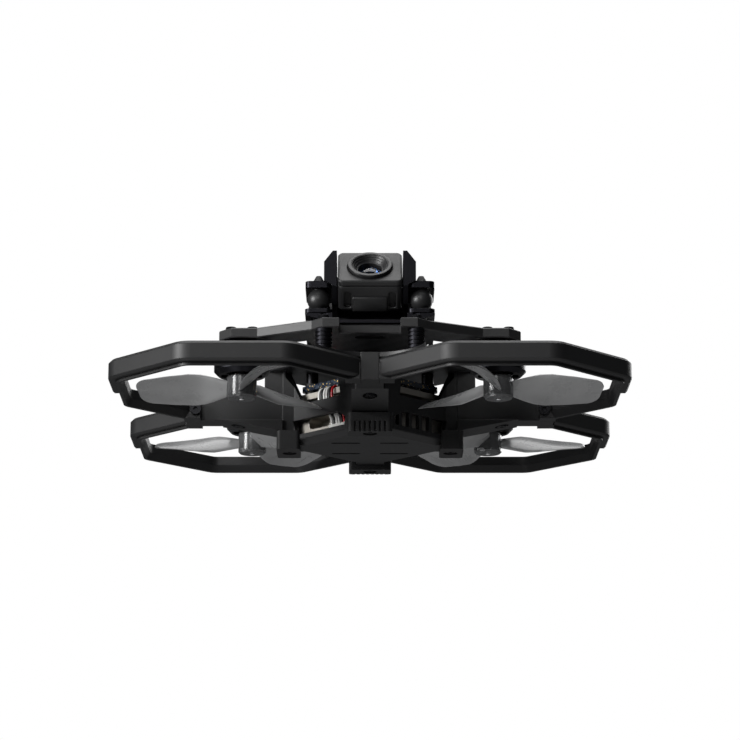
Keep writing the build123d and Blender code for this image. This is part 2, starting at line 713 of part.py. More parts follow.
with BuildPart() as board_grommets:
    with BuildSketch(Plane.XY.offset(board_z - 1.0)):
        with PolarLocations(stack_reach, 4):
            Circle(grommet_r)
    extrude(amount=board_t + 2.0)
    with BuildSketch(Plane.XY.offset(board_z - seam / 2)):
        with PolarLocations(stack_reach, 4):
            Circle(grommet_r)
            Circle(grommet_r - 0.5 - seam / 2, mode=Mode.SUBTRACT)
    extrude(amount=board_t + seam, mode=Mode.SUBTRACT)
    with BuildSketch(Plane.XY.offset(board_z - 1.0)):
        with PolarLocations(stack_reach, 4):
            Circle(bore_r)
    extrude(amount=board_t + 2.0, mode=Mode.SUBTRACT)
save(board_grommets, "board_grommets")

with BuildPart() as stack_spacers:
    with BuildSketch(Plane.XY.offset(board_z + board_t + 1.0)):
        with PolarLocations(stack_reach, 4):
            Circle(1.9)
    extrude(amount=plate_z - board_z - board_t - 1.0)
    with BuildSketch(Plane.XY.offset(board_z - 1.0)):
        with PolarLocations(stack_reach, 4):
            Circle(screw_r)
    extrude(amount=board_t + 2.0)
    with BuildSketch(Plane.XY.offset(board_z - 1.0)):
        with PolarLocations(stack_reach, 4):
            RegularPolygon(nut_r, 6)
    extrude(amount=-1.4)
save(stack_spacers, "stack_spacers")

cap_r = (plate_z - bar_top - 1.3) / 2
with BuildPart() as capacitor:
    with BuildSketch(Plane.XZ.offset(-column_reach - 1.5)):
        with Locations((0, bar_top + cap_r + 0.2)):
            Circle(cap_r)
    extrude(amount=-12)
    fillet(capacitor.edges().filter_by(GeomType.CIRCLE), 0.5)
save(capacitor, "capacitor")

# ---------------------------------------------------------------- where the camera stands
pivot_y = -(corner_y - 4.0)
pivot_z = plate_top + hypot(camera_d, camera_h) / 2 + 3.5
cage_low = pivot_z - 7.5
cage_high = pivot_z + 8.2
cage_nose_y = pivot_y - 5.6
cage_tail_y = pivot_y + 13.4

# ---------------------------------------------------------------- battery and its tray
tray_t = 1.6
battery_nose_y = cage_tail_y + 7.0
tray_nose_y = battery_nose_y - 3.0
battery_tail_y = battery_nose_y + battery_l
tray_tail_y = battery_tail_y - 2.0
rail_t = 2.0
rail_h = 6.2
rail_half = battery_w / 2 + slip
lip = 1.2
lip_t = 1.4
pin_r = 1.0
pin_play = 0.08
pin_l = 5.0
pin_x = 2.5
tray_z = plate_top + head_h + slip
battery_z = tray_z + tray_t + slip
pin_z = battery_z + 7.0
groove_low = rail_h - lip_t + tray_z + tray_t - slip

with BuildPart() as battery_tray:
    with BuildSketch(Plane.XY.offset(tray_z)):
        with Locations((0, (tray_nose_y + tray_tail_y) / 2)):
            RectangleRounded(2 * (rail_half + rail_t), tray_tail_y - tray_nose_y, 2)
            with GridLocations(15, 17, 2, 3):
                SlotOverall(11, 6, rotation=90, mode=Mode.SUBTRACT)
    extrude(amount=tray_t)
    with BuildSketch(Plane.XY.offset(tray_z + tray_t)):
        for side in (-1, 1):
            with Locations((side * (rail_half + rail_t / 2), (tray_nose_y + tray_tail_y) / 2)):
                Rectangle(rail_t, tray_tail_y - tray_nose_y - 4)
    extrude(amount=rail_h)
    with BuildSketch(Plane.XY.offset(tray_z + tray_t + rail_h - lip_t)):
        for side in (-1, 1):
            with Locations((side * (rail_half - lip / 2), (tray_nose_y + tray_tail_y) / 2)):
                Rectangle(lip, tray_tail_y - tray_nose_y - 4)
    extrude(amount=lip_t)
    # feet that stand on the carbon plate between its screw heads
    with BuildSketch(Plane.XY.offset(plate_top)):
        with Locations((0, 8), (0, -10), (11, 0), (-11, 0)):
            Circle(3)
    extrude(amount=tray_z - plate_top)
save(battery_tray, "battery_tray")

socket_t = -tray_nose_y + battery_nose_y - slip
with BuildPart() as power_socket:
    with BuildSketch(Plane.XY.offset(tray_z + tray_t)):
        with Locations((0, tray_nose_y + socket_t / 2)):
            Rectangle(14, socket_t)
    extrude(amount=11)
    with BuildSketch(Plane.XZ.offset(-battery_nose_y + slip)):
        with Locations((pin_x, pin_z), (-pin_x, pin_z)):
            Circle(pin_r)
    extrude(amount=-(pin_l + slip))
    chamfer(power_socket.edges().filter_by(GeomType.CIRCLE).group_by(Axis.Y)[-1], 0.4)
save(power_socket, "power_socket")

power_button_r = 3.0
power_button_travel = 0.8
with BuildPart() as battery_case:
    with BuildSketch(Plane.XZ.offset(-battery_nose_y)):
        with Locations((0, battery_z + battery_h / 2)):
            RectangleRounded(battery_w, battery_h, 2.6)
    extrude(amount=-battery_l)
    fillet(battery_case.edges().group_by(Axis.Y)[-1], 1.6)
    chamfer(battery_case.edges().group_by(Axis.Y)[0], 0.8)
    # grooves for the tray's lips
    with BuildSketch(Plane.XZ.offset(-battery_nose_y)):
        for side in (-1, 1):
            with Locations((side * battery_w / 2, groove_low + (lip_t + 2 * slip) / 2)):
                Rectangle(2 * (lip + slip), lip_t + 2 * slip)
    extrude(amount=-(battery_l + 1), mode=Mode.SUBTRACT)
    with BuildSketch(Plane.XZ.offset(-battery_nose_y)):
        with Locations((pin_x, pin_z), (-pin_x, pin_z)):
            Circle(pin_r + pin_play)
    extrude(amount=-(pin_l + 2), mode=Mode.SUBTRACT)
    # well for the power button, in the tail face
    with BuildSketch(Plane.XZ.offset(-battery_tail_y)):
        with Locations((0, battery_z + battery_h / 2)):
            Circle(power_button_r + slip)
    extrude(amount=power_button_travel + 2.2, mode=Mode.SUBTRACT)
    # shallow ribs across the top
    with BuildSketch(Plane.XY.offset(battery_z + battery_h)):
        with Locations((0, (battery_nose_y + battery_tail_y) / 2)):
            with GridLocations(0, 5.2, 1, 9):
                SlotOverall(24, 1.6)
    extrude(amount=-0.7, mode=Mode.SUBTRACT)
save(battery_case, "battery_case")

with BuildPart() as battery_button:
    with BuildSketch(Plane.XZ.offset(-battery_tail_y - power_button_travel / 2)):
        with Locations((0, battery_z + battery_h / 2)):
            Circle(power_button_r)
    extrude(amount=2.2)
    chamfer(battery_button.edges().group_by(Axis.Y)[-1], 0.4)
save(battery_button, "battery_button")

# ---------------------------------------------------------------- camera
tilt = radians(camera_tilt)
camera_plane = Plane(origin=(0, pivot_y, pivot_z), x_dir=(1, 0, 0), z_dir=(0, -cos(tilt), sin(tilt)))
bezel_t = 2.0
face_z = camera_d / 2
lens_rim_r = 6.5
lens_out = 1.0
pivot_r = 1.5
cheek_t = 1.5
cheek_in = camera_w / 2 + slip
cheek_out = cheek_in + cheek_t

with BuildPart() as camera_body:
    with BuildSketch(camera_plane.offset(-camera_d / 2)):
        RectangleRounded(camera_w, camera_h, 1.6)
    extrude(amount=camera_d - bezel_t)
    chamfer(camera_body.faces().sort_by_distance(camera_plane.offset(-camera_d).origin)[0].edges(), 1.2)
    # slots and a raised pad on the underside, cooling slots on the sides
    with BuildSketch(Plane(origin=camera_plane.origin - camera_plane.y_dir * camera_h / 2,
                           x_dir=(1, 0, 0), z_dir=-camera_plane.y_dir)):
        with Locations((6.6, -1.0), (-6.6, -1.0)):
            RectangleRounded(2.2, 5.4, 0.8)
    extrude(amount=-1.2, mode=Mode.SUBTRACT)
    for side in (-1, 1):
        with BuildSketch(Plane(origin=(side * camera_w / 2, pivot_y, pivot_z),
                               x_dir=camera_plane.y_dir * side, z_dir=(side, 0, 0))):
            with Locations((0, 3.4), (0, -3.4)):
                with GridLocations(2.4, 0, 5, 1):
                    SlotOverall(2.8, 0.9, rotation=90)
        extrude(amount=-0.8, mode=Mode.SUBTRACT)
    # well for the lens barrel, bores for the pivot screws
    with BuildSketch(camera_plane.offset(face_z - bezel_t)):
        Circle(lens_rim_r - 0.9)
    extrude(amount=-4.5, mode=Mode.SUBTRACT)
    with BuildSketch(Plane.YZ):
        with Locations((pivot_y, pivot_z)):
            Circle(pivot_r + running)
    extrude(amount=camera_w / 2 + 1, both=True, mode=Mode.SUBTRACT)
    with BuildSketch(camera_plane.offset(-camera_d / 2 + 1.5)):
        Rectangle(camera_w - 5, camera_h - 4)
    extrude(amount=3.2)
save(camera_body, "camera_body")

with BuildPart() as camera_bezel:
    with BuildSketch(camera_plane.offset(face_z - bezel_t)):
        RectangleRounded(camera_w, camera_h, 1.6)
        Circle(lens_rim_r + 0.05, mode=Mode.SUBTRACT)
    extrude(amount=bezel_t)
    chamfer(camera_bezel.edges().sort_by_distance(camera_plane.offset(20).origin)[:9], 0.35)
save(camera_bezel, "camera_bezel")

with BuildPart() as lens_barrel:
    with BuildSketch(camera_plane.offset(face_z - bezel_t)):
        Circle(lens_rim_r)
    extrude(amount=bezel_t + lens_out)
    with BuildSketch(camera_plane.offset(face_z - bezel_t)):
        Circle(lens_rim_r - 1.0)
    extrude(amount=-4.2)
    # flared mouth
    with BuildSketch(camera_plane.offset(face_z + lens_out)):
        Circle(5.6)
    with BuildSketch(camera_plane.offset(face_z - 0.9)):
        Circle(3.9)
    loft(mode=Mode.SUBTRACT)
    with BuildSketch(camera_plane.offset(face_z - 0.9)):
        Circle(3.6)
    extrude(amount=-3.2, mode=Mode.SUBTRACT)
save(lens_barrel, "lens_barrel")

glass_dome = 1.3
glass_r = 3.5
glass_ball = (glass_r ** 2 + glass_dome ** 2) / (2 * glass_dome)
glass_plane = camera_plane.offset(face_z - 2.2)
with BuildPart() as lens_glass:
    with BuildSketch(Plane(origin=glass_plane.origin, x_dir=glass_plane.x_dir, z_dir=-glass_plane.y_dir)):
        with BuildLine():
            Line((0, -1.2), (glass_r, -1.2))
            Line((glass_r, -1.2), (glass_r, 0))
            RadiusArc((glass_r, 0), (0, glass_dome), -glass_ball)
            Line((0, glass_dome), (0, -1.2))
        make_face()
    revolve(axis=Axis(glass_plane.origin, glass_plane.z_dir))
save(lens_glass, "lens_glass")

# ---------------------------------------------------------------- camera cage and dampers
ear_z = pivot_z - 2.9
ear_t = 2.0
ball_r = 3.4
ball_h = 6.4
ball_x = cheek_out + 0.5 + ball_r
ball_y = (pivot_y - 1.6, pivot_y + 10.0)
screw_head_r = 2.3
screw_head_t = 0.6
neck_r = 1.3
collar_r = neck_r + 0.6
collar_h = ball_h / 2 - sqrt(ball_r ** 2 - collar_r ** 2)

with BuildPart() as camera_cage:
    for side in (-1, 1):
        with BuildSketch(Plane.YZ.offset(side * cheek_in)):
            Polygon((cage_nose_y + 3, cage_low), (cage_tail_y, cage_low), (cage_tail_y, cage_high - 3),
                    (cage_tail_y - 3, cage_high), (cage_nose_y + 2.4, cage_high),
                    (cage_nose_y, cage_high - 2.6), (cage_nose_y, cage_low + 5), align=None)
        extrude(amount=side * cheek_t)
        # flange in front of the cheek and the ears over the dampers
        with BuildSketch(Plane.XY.offset(ear_z)):
            with Locations((side * (cheek_out + 3.9), (ball_y[0] + ball_y[1]) / 2)):
                RectangleRounded(7.8, ball_y[1] - ball_y[0] + 6.4, 1.6)
            with Locations(*[(side * ball_x, y) for y in ball_y]):
                Circle(neck_r + 0.05, mode=Mode.SUBTRACT)
        extrude(amount=ear_t)
        with BuildSketch(Plane.XZ.offset(-cage_nose_y)):
            Polygon((side * cheek_in, ear_z), (side * (cheek_out + 2.3), ear_z + ear_t),
                    (side * (cheek_out + 2.3), cage_high - 3.4), (side * (cheek_out - 0.3), cage_high),
                    (side * cheek_in, cage_high), align=None)
        extrude(amount=-2.4)
        with BuildSketch(Plane.YZ.offset(side * cheek_out)):
            with Locations((pivot_y, pivot_z)):
                Circle(screw_head_r + 0.2)
        extrude(amount=side * (screw_head_t + 0.2), mode=Mode.SUBTRACT)
    # rear wall that joins the cheeks
    with BuildSketch(Plane.XZ.offset(-cage_tail_y)):
        with Locations((0, (cage_low + cage_high - 4) / 2)):
            Rectangle(2 * cheek_out, cage_high - 4 - cage_low)
            RectangleRounded(13, cage_high - 10 - cage_low, 2, mode=Mode.SUBTRACT)
    extrude(amount=1.6)
    with BuildSketch(Plane.YZ):
        with Locations((pivot_y, pivot_z)):
            Circle(pivot_r + 0.02)
        with Locations((pivot_y + 6.4, pivot_z + 5), (pivot_y + 7.6, pivot_z)):
            SlotOverall(4.2, 2.2, rotation=115)
    extrude(amount=cheek_out, both=True, mode=Mode.SUBTRACT)
save(camera_cage, "camera_cage")

with BuildPart() as pivot_screws:
    for side in (-1, 1):
        with BuildSketch(Plane.YZ.offset(side * cheek_out)):
            with Locations((pivot_y, pivot_z)):
                Circle(screw_head_r)
                RegularPolygon(1.1, 6, mode=Mode.SUBTRACT)
        extrude(amount=side * screw_head_t)
        with BuildSketch(Plane.YZ.offset(side * cheek_out)):
            with Locations((pivot_y, pivot_z)):
                Circle(screw_head_r)
        extrude(amount=side * screw_head_t / 3)
        with BuildSketch(Plane.YZ.offset(side * cheek_out)):
            with Locations((pivot_y, pivot_z)):
                Circle(pivot_r)
        extrude(amount=-side * (cheek_t + slip + 2.2))
save(pivot_screws, "pivot_screws")

bracket_z = ear_z - ball_h - 1.2
leg_in = ball_x - 4.1
leg_out = ball_x + 3.7
with BuildPart() as camera_bracket:
    for side in (-1, 1):
        with BuildSketch(Plane.XY.offset(bracket_z)):
            with Locations((side * ball_x, (ball_y[0] + ball_y[1]) / 2)):
                RectangleRounded(8.0, ball_y[1] - ball_y[0] + 6.4, 1.6)
            with Locations(*[(side * ball_x, y) for y in ball_y]):
                Circle(neck_r + 0.05, mode=Mode.SUBTRACT)
        extrude(amount=1.2)
        # leg that curves in to the plate
        with BuildSketch(Plane.XZ.offset(-(ball_y[0] - 2.8))):
            with BuildLine():
                Polyline((side * leg_out, bracket_z), (side * leg_out, bracket_z - 0.8),
                         (side * (ball_x - 1.7), plate_top + 0.4), (side * (ball_x - 1.7), plate_top),
                         (side * leg_in, plate_top), (side * leg_in, bracket_z), (side * leg_out, bracket_z))
            make_face()
        extrude(amount=-(ball_y[1] - ball_y[0] + 5.6))
    with BuildSketch(Plane.XY.offset(plate_top)):
        with Locations((0, ball_y[0] - 0.6), (0, ball_y[1] + 1.6)):
            Rectangle(2 * leg_in + 2, 2.2)
    extrude(amount=1.0)
    # pockets for the balls' lower plugs
    with BuildSketch(Plane.XY.offset(bracket_z)):
        with Locations(*[(side * ball_x, y) for side in (-1, 1) for y in ball_y]):
            Circle(neck_r + 1.0)
    extrude(amount=-1.4, mode=Mode.SUBTRACT)
    with BuildSketch(Plane.XY.offset(plate_top)):
        with GridLocations(2 * standoff_x, 2 * standoff_y, 2, 2):
            Circle(2.4)
    extrude(amount=bracket_z - plate_top, mode=Mode.SUBTRACT)
save(camera_bracket, "camera_bracket")

with BuildPart() as damper_balls:
    for side in (-1, 1):
        for y in ball_y:
            ball_foot = (side * ball_x, y, bracket_z + 1.2)
            with BuildSketch(Plane(origin=ball_foot, x_dir=(1, 0, 0), z_dir=(0, -1, 0))):
                with BuildLine():
                    ThreePointArc((collar_r, collar_h), (ball_r, ball_h / 2), (collar_r, ball_h - collar_h))
                    Polyline((collar_r, ball_h - collar_h), (collar_r, ball_h), (neck_r, ball_h),
                             (neck_r, ball_h + ear_t),
                             (neck_r + 0.7, ball_h + ear_t), (neck_r * 0.6, ball_h + ear_t + 2.2),
                             (0, ball_h + ear_t + 2.2), (0, -2.2), (neck_r + 0.7, -1.2), (neck_r, -1.2),
                             (neck_r, 0), (collar_r, 0), (collar_r, collar_h))
                make_face()
            revolve(axis=Axis((side * ball_x, y, 0), (0, 0, 1)))
save(damper_balls, "damper_balls")

# ---------------------------------------------------------------- antennas and motor leads
antenna_x = 3.5
antenna_r = (plate_z - bar_top) * 0.26
antenna_splay = 30.0
antenna_l = 20.0
mount_h = plate_z - bar_top - 1.9
mount_y = corner_y + 1.0


def antenna_axis(side):
    """Plane across one antenna at its root, z along the antenna."""
    turn = radians(antenna_splay)
    return Plane(origin=(side * antenna_x, mount_y, bar_top + mount_h / 2 + 0.2), x_dir=(0, 0, 1),
                 z_dir=(side * sin(turn), cos(turn), 0))


with BuildPart() as antenna_mount:
    with BuildSketch(Plane.XY.offset(bar_top)):
        with Locations((0, mount_y)):
            RectangleRounded(14, 5.4, 1.5)
    extrude(amount=mount_h)
    for side in (-1, 1):
        with BuildSketch(antenna_axis(side).offset(-1.0)):
            Circle(antenna_r + 0.05)
        extrude(amount=20, mode=Mode.SUBTRACT)
save(antenna_mount, "antenna_mount")

with BuildPart() as antennas:
    for side in (-1, 1):
        with BuildSketch(antenna_axis(side)):
            Circle(antenna_r)
        extrude(amount=antenna_l)
    fillet(antennas.edges().filter_by(GeomType.CIRCLE).group_by(Axis.Y)[-1], 0.9)
save(antennas, "antennas")

lead_r = 0.45
lead_pitch = 1.3
lead_z = plate_z - lead_r - 0.1
with BuildPart() as motor_leads:
    for name, sx, sy in corners:
        for lead in (-1, 0, 1):
            start = (sx * (motor_x - 5.4), sy * (motor_y + lead * lead_pitch))
            mid = (sx * (20.5 - lead * lead_pitch), sy * (motor_y - 1.0 + lead * lead_pitch))
            end = (sx * (12.5 - lead * lead_pitch), sy * 17.5)
            with BuildLine():
                path = FilletPolyline((start[0], start[1], lead_z), (mid[0], mid[1], lead_z),
                                      (end[0], end[1], lead_z), radius=4.5)
            with BuildSketch(Plane(origin=path @ 0, z_dir=path % 0)):
                Circle(lead_r)
            sweep(path=path)
save(motor_leads, "motor_leads")
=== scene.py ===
"""Looks of a ducted racing drone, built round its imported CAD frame. Shapes are drawn in millimetres."""
import json
from math import atan2, cos, pi, radians, sin, sqrt

import bmesh
import bpy
from mathutils import Matrix, Vector


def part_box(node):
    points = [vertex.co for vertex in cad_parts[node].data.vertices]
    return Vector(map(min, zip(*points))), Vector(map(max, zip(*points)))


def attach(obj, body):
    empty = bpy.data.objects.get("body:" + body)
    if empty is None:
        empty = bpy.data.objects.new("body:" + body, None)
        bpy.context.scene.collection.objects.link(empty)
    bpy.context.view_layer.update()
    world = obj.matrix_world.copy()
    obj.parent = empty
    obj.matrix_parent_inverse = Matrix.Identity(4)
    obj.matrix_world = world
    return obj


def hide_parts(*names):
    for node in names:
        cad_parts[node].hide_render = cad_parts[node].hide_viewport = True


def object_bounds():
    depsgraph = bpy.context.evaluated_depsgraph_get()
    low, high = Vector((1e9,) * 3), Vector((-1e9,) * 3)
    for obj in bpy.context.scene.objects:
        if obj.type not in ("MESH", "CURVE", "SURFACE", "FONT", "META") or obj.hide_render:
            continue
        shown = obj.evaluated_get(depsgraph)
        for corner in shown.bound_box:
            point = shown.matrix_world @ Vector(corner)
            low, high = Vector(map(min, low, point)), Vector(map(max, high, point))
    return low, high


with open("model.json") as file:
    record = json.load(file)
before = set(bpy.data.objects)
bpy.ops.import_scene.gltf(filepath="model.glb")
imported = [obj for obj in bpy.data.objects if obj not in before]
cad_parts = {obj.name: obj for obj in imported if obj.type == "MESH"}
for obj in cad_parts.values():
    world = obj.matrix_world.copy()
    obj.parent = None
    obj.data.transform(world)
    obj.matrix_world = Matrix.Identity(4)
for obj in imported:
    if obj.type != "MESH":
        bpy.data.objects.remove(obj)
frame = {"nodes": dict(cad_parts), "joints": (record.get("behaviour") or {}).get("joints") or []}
cad_low, cad_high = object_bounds()
nodes = frame["nodes"]
mm = 0.001

# ---------------------------------------------------------------- studio
# The drone hovers high over a plain floor in a white studio. A long lens looks up at its nose from
# a little below. One strong softbox stands ahead on its left, and weaker ones fill the rest.
lens_mm = 133.06
look_up = radians(14.11)
camera_place = Vector((0.0, -0.8310, -0.1821))
floor_z = -1.1

view_camera = bpy.data.objects.new("view_camera", bpy.data.cameras.new("view_camera"))
view_camera.data.lens = lens_mm
view_camera.data.sensor_width = 36.0
view_camera.location = camera_place
view_camera.rotation_euler = (radians(90) + look_up, 0, 0)
bpy.context.scene.collection.objects.link(view_camera)
bpy.context.scene.camera = view_camera


def soft_light(name, place, aim, width, power):
    """A square softbox that looks at a point."""
    lamp = bpy.data.lights.new(name, "AREA")
    lamp.shape = "SQUARE"
    lamp.size = width
    lamp.energy = power
    made = bpy.data.objects.new(name, lamp)
    made.location = place
    made.rotation_euler = (Vector(aim) - Vector(place)).to_track_quat("-Z", "Y").to_euler()
    bpy.context.scene.collection.objects.link(made)


middle = (cad_low + cad_high) / 2
soft_light("key_softbox", (-0.95, -0.62, 0.22), middle, 0.45, 15)
soft_light("front_softbox", (-0.25, -1.05, 0.45), middle, 0.4, 2.2)
soft_light("top_softbox", (0.0, 0.15, 1.0), middle, 0.9, 7)
soft_light("tail_softbox", (0.55, 0.85, 0.35), middle, 0.6, 5)
soft_light("under_softbox", (-0.35, -0.25, -0.85), middle, 0.3, 0.5)

studio = bpy.data.worlds.new("studio")
studio.use_nodes = True
bpy.context.scene.world = studio
sky = studio.node_tree
seen = sky.nodes["Background"]
seen.inputs["Color"].default_value = (1.0, 1.0, 1.0, 1)
seen.inputs["Strength"].default_value = 1.0
ambient = sky.nodes.new("ShaderNodeBackground")
ambient.inputs["Color"].default_value = (0.95, 0.97, 1.0, 1)
ambient.inputs["Strength"].default_value = 0.07
ray = sky.nodes.new("ShaderNodeLightPath")
choose = sky.nodes.new("ShaderNodeMixShader")
sky.links.new(ray.outputs["Is Camera Ray"], choose.inputs[0])
sky.links.new(ambient.outputs[0], choose.inputs[1])
sky.links.new(seen.outputs[0], choose.inputs[2])
sky.links.new(choose.outputs[0], sky.nodes["World Output"].inputs["Surface"])
bpy.context.scene.view_settings.view_transform = "Standard"

floor_shape = bmesh.new()
bmesh.ops.create_grid(floor_shape, x_segments=1, y_segments=1, size=6.0)
bmesh.ops.translate(floor_shape, vec=(0, 0, floor_z), verts=floor_shape.verts)
floor_mesh = bpy.data.meshes.new("studio_floor")
floor_shape.to_mesh(floor_mesh)
floor_shape.free()
studio_floor = bpy.data.objects.new("studio_floor", floor_mesh)
bpy.context.scene.collection.objects.link(studio_floor)


# ---------------------------------------------------------------- moulded frame
# Chassis, belly cover, ring guards, battery tray and antenna mount are moulded in black
# glass-filled nylon: a fine spark-eroded grain, edges worn a little lighter.
class Value:
    """A shader socket that adds Math nodes when it stands in an expression."""

    def __init__(self, finish, socket):
        self.finish = finish
        self.socket = socket

    def maths(self, operation, first, second):
        return self.finish.node("ShaderNodeMath", {"operation": operation}, {0: first, 1: second})

    def __add__(self, other):
        return self.maths("ADD", self, other)

    def __rsub__(self, other):
        return self.maths("SUBTRACT", other, self)

    def __mul__(self, other):
        return self.maths("MULTIPLY", self, other)

    def __mod__(self, other):
        return self.maths("FLOORED_MODULO", self, other)

    def __lt__(self, other):
        return self.maths("LESS_THAN", self, other)

    def __gt__(self, other):
        return self.maths("GREATER_THAN", self, other)

    __radd__ = __add__
    __rmul__ = __mul__


class Finish:
    """One material. node() adds any shader node and gives the wanted output back as a Value."""

    def __init__(self, name, colour, roughness, **constants):
        self.material = bpy.data.materials.new(name)
        self.material.use_nodes = True
        self.tree = self.material.node_tree
        self.shader = self.tree.nodes["Principled BSDF"]
        self.set(Base_Color=(*colour, 1), Roughness=roughness, **constants)
        self.place = self.node("ShaderNodeTexCoord", output="Object")

    def feed(self, socket, value):
        if isinstance(value, Value):
            self.tree.links.new(value.socket, socket)
        else:
            socket.default_value = value

    def node(self, kind, settings=None, sockets=None, output=0):
        added = self.tree.nodes.new(kind)
        for name, value in (settings or {}).items():
            setattr(added, name, value)
        for key, value in (sockets or {}).items():
            self.feed(added.inputs[key], value)
        return Value(self, added.outputs[output])

    def set(self, **sockets):
        for name, value in sockets.items():
            self.feed(self.shader.inputs[name.replace("_", " ")], value)

    def noise(self, size_mm, detail=2.0, stretch=(1, 1, 1)):
        """Noise with features of one size, drawn out along an axis where stretch is below 1."""
        place = self.node("ShaderNodeVectorMath", {"operation": "MULTIPLY"}, {0: self.place, 1: stretch})
        sockets = {"Vector": place, "Scale": 1 / (size_mm * mm), "Detail": detail}
        return self.node("ShaderNodeTexNoise", {}, sockets)

    def component(self, letter, vector=None):
        """X, Y or Z of a vector, and of the place on the object if none is given."""
        return self.node("ShaderNodeSeparateXYZ", {}, {0: vector or self.place}, letter)

    def fold(self, value):
        """Value that runs to and fro between 0 and a half."""
        return self.node("ShaderNodeMath", {"operation": "PINGPONG"}, {0: value, 1: 0.5})

    def ramp(self, value, low, high, start=0.0, end=1.0):
        """Value carried from one range to another and held at its ends."""
        sockets = {"Value": value, "From Min": low, "From Max": high, "To Min": start, "To Max": end}
        return self.node("ShaderNodeMapRange", {}, sockets)

    def mix(self, share, first, second):
        first = first if isinstance(first, Value) else (*first, 1)
        second = second if isinstance(second, Value) else (*second, 1)
        return self.node("ShaderNodeMix", {"data_type": "RGBA"}, {0: share, 6: first, 7: second}, 2)

    def round_edges(self, radius_mm):
        """Softened normal near edges, and a mask that is 1 on them."""
        soft = self.node("ShaderNodeBevel", {"samples": 4}, {"Radius": radius_mm * mm})
        flat = self.node("ShaderNodeNewGeometry", {}, {}, "True Normal")
        agree = self.node("ShaderNodeVectorMath", {"operation": "DOT_PRODUCT"}, {0: soft, 1: flat}, "Value")
        return soft, self.ramp(agree, 0.995, 0.8)

    def bump(self, height, depth_mm, strength=1.0, normal=None):
        sockets = {"Height": height, "Distance": depth_mm * mm, "Strength": strength}
        if normal is not None:
            sockets["Normal"] = normal
        return self.node("ShaderNodeBump", {}, sockets)


def grained(name, colour, worn, roughness, grain_mm, depth_mm, edge_mm, **constants):
    """Moulded plastic or rubber: mottled, grained, lighter where its edges rub."""
    made = Finish(name, colour, roughness, **constants)
    soft, edge = made.round_edges(edge_mm)
    cloud = made.noise(14, 3)
    scuff = made.noise(3.0, 6)
    rub = made.ramp(edge * (cloud + 0.35) + (made.ramp(scuff, 0.66, 0.8) * 0.12), 0.1, 0.9)
    made.set(Base_Color=made.mix(rub, made.mix(cloud, colour, [part * 1.35 for part in colour]), worn),
             Roughness=made.ramp(cloud + made.noise(1.2) * 0.5, 0.4, 1.1, roughness - 0.06, roughness + 0.08),
             Normal=made.bump(made.noise(grain_mm, 4), depth_mm, 0.55, soft))
    return made


def coat_nodes(finish, *names):
    """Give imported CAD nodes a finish."""
    for name in names:
        mesh = nodes[name].data
        mesh.materials.clear()
        mesh.materials.append(finish.material)


corners = ("front_left", "front_right", "rear_left", "rear_right")
moulded_nylon = grained("moulded_nylon", (0.0075, 0.0075, 0.008), (0.022, 0.022, 0.023),
                        0.46, 0.22, 0.02, 0.3)
coat_nodes(moulded_nylon, "chassis", "belly_cover", "battery_tray", "antenna_mount", "power_socket",
           *["guard_" + corner for corner in corners])

# ---------------------------------------------------------------- bumpers and landing pads
# Strips of soft black rubber clipped round the rings, and four ribbed soles under the belly.
# Their faces are matt, and their chamfered edges catch the light.
bumper_rubber = grained("bumper_rubber", (0.0078, 0.0078, 0.0082), (0.022, 0.022, 0.023),
                        0.5, 0.3, 0.016, 0.5)
pad_rubber = grained("pad_rubber", (0.0065, 0.0065, 0.007), (0.018, 0.018, 0.019), 0.62, 0.16, 0.03, 0.25)
coat_nodes(bumper_rubber, "tail_bumper_left", "tail_bumper_right",
           *["bumper_" + corner for corner in corners])
coat_nodes(pad_rubber, "landing_pads", "board_grommets")

# ---------------------------------------------------------------- carbon plate
# One 3 mm plate of twill carbon cut to an X. Its faces show the weave under satin resin, and its
# milled edges show the layers.
tow_mm = 1.9
layer_mm = 0.28
carbon_plate = Finish("carbon_plate", (0.02, 0.02, 0.021), 0.36, Coat_Weight=0.1, Coat_Roughness=0.25)
plate_edges, plate_rub = carbon_plate.round_edges(0.2)
across = carbon_plate.component("X") * (1 / (tow_mm * mm))
along = carbon_plate.component("Y") * (1 / (tow_mm * mm))
height = carbon_plate.component("Z")
column = carbon_plate.node("ShaderNodeMath", {"operation": "FLOOR"}, {0: across})
row = carbon_plate.node("ShaderNodeMath", {"operation": "FLOOR"}, {0: along})
# a 2/2 twill: two tows over and two under, one step aside in each row
warp = ((column + row) % 4.0) < 1.5
crown = carbon_plate.fold(across) * warp
crown = crown + carbon_plate.fold(along) * (1 - warp)
fibre = carbon_plate.noise(0.16, 2, (1, 0.06, 1)) * warp
fibre = fibre + carbon_plate.noise(0.16, 2, (0.06, 1, 1)) * (1 - warp)
facing = carbon_plate.node("ShaderNodeNewGeometry", {}, {}, "True Normal")
upright = carbon_plate.component("Z", facing)
flat_face = carbon_plate.node("ShaderNodeMath", {"operation": "ABSOLUTE"}, {0: upright}) > 0.6
layer = carbon_plate.fold(height * (1 / (layer_mm * mm)))
weave = carbon_plate.mix(warp * 0.7 + fibre * 0.5, (0.006, 0.006, 0.0065), (0.024, 0.024, 0.026))
milled = carbon_plate.mix(layer * 1.4, (0.006, 0.006, 0.006), (0.022, 0.022, 0.023))
skin = carbon_plate.mix(flat_face, milled, weave)
relief = crown * flat_face * 0.6 + fibre * 0.2 + layer * (1 - flat_face) * 0.3
carbon_plate.set(Base_Color=carbon_plate.mix(plate_rub * 0.5, skin, (0.035, 0.035, 0.035)),
                 Roughness=carbon_plate.ramp(fibre + (1 - flat_face) * 0.5, 0.2, 1.0, 0.3, 0.55),
                 Normal=carbon_plate.bump(relief, 0.05, 0.6, plate_edges))
coat_nodes(carbon_plate, "top_plate")


